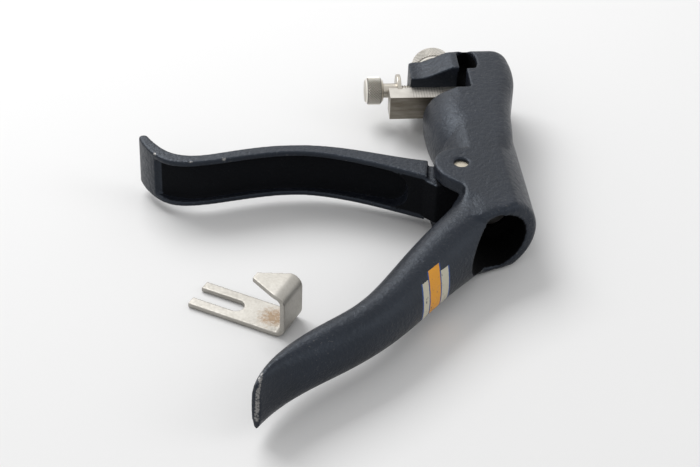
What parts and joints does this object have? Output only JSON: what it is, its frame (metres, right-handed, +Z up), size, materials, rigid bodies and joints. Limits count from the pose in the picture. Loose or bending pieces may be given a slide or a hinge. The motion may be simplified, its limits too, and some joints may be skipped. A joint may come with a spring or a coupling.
{
  "type": "saw set",
  "caption": "Pistol-grip saw set: cast frame with a curved grip, sprung lever driving a plunger and hammer against a screw-adjusted anvil bar, with a loose bent gauge.",
  "frame": {"origin": "foot of the barrel's axis on the flat side that the tool lies on, level with the lever's pivot", "axes": "+Y along the barrel towards the nose, +X away from the handles, +Z up out of the resting side"},
  "size_m": [0.1224, 0.1713, 0.0232],
  "materials": {
    "black_japan": "semi-gloss baked black japan over a fine-grained casting",
    "bright_steel": "bright drawn steel, ends turned",
    "machined_steel": "turned steel, lightly oiled",
    "hardened_steel": "hardened and ground steel",
    "spring_wire": "drawn spring wire",
    "ground_nickel": "nickel plated and ground bright",
    "nickel_plate": "dull nickel plate over knurled steel",
    "satin_nickel": "satin nickel plate, a little stained"
  },
  "bodies": {
    "frame_body": {"frame": "black_japan", "pivot_pin": "bright_steel", "return_spring": "spring_wire"},
    "lever_body": {"lever": "black_japan"},
    "plunger_body": {"plunger": "machined_steel", "hammer": "hardened_steel"},
    "anvil_body": {"anvil_bar": "ground_nickel", "anvil_stud": "bright_steel"},
    "screw_body": {"adjusting_screw": "nickel_plate"},
    "nut_body": {"lock_nut": "nickel_plate"},
    "gauge_body": {"gauge": "satin_nickel"}
  },
  "joints": [
    {"name": "lever_squeeze", "type": "hinge", "parent": "frame_body", "child": "lever_body", "pos_m": [-0.0082, 0, 0.0116], "axis": [0, 0, 1], "range_deg": [0, 24], "stiffness_Nm_per_rad": 0.25, "springref_deg": -22.92},
    {"name": "plunger_slide", "type": "slide", "parent": "frame_body", "child": "plunger_body", "axis": [0, 1, 0], "range_m": [0, 0.00345], "deforming": ["return_spring"]},
    {"name": "anvil_slide", "type": "slide", "parent": "frame_body", "child": "anvil_body", "axis": [1, 0, 0], "range_m": [-0.0024, 0.0004]},
    {"name": "screw_spin", "type": "hinge", "parent": "anvil_body", "child": "screw_body", "pos_m": [-0.0214, 0.0593, 0.0116], "axis": [1, 0, 0], "range_deg": [-1081, 181]},
    {"name": "nut_turn", "type": "hinge", "parent": "anvil_body", "child": "nut_body", "pos_m": [-0.0077, 0.0705, 0.0116], "axis": [0, 1, 0], "range_deg": [0, 360]},
    {"name": "gauge_lift", "type": "slide", "parent": "frame_body", "child": "gauge_body", "axis": [0, 0, 1], "range_m": [0, 0.05]}
  ],
  "couplings": [
    {"joint": "plunger_slide", "follows": "lever_squeeze", "m_per_rad": 0.0082},
    {"joint": "screw_spin", "follows": "anvil_slide", "rad_per_m": 7854}
  ]
}
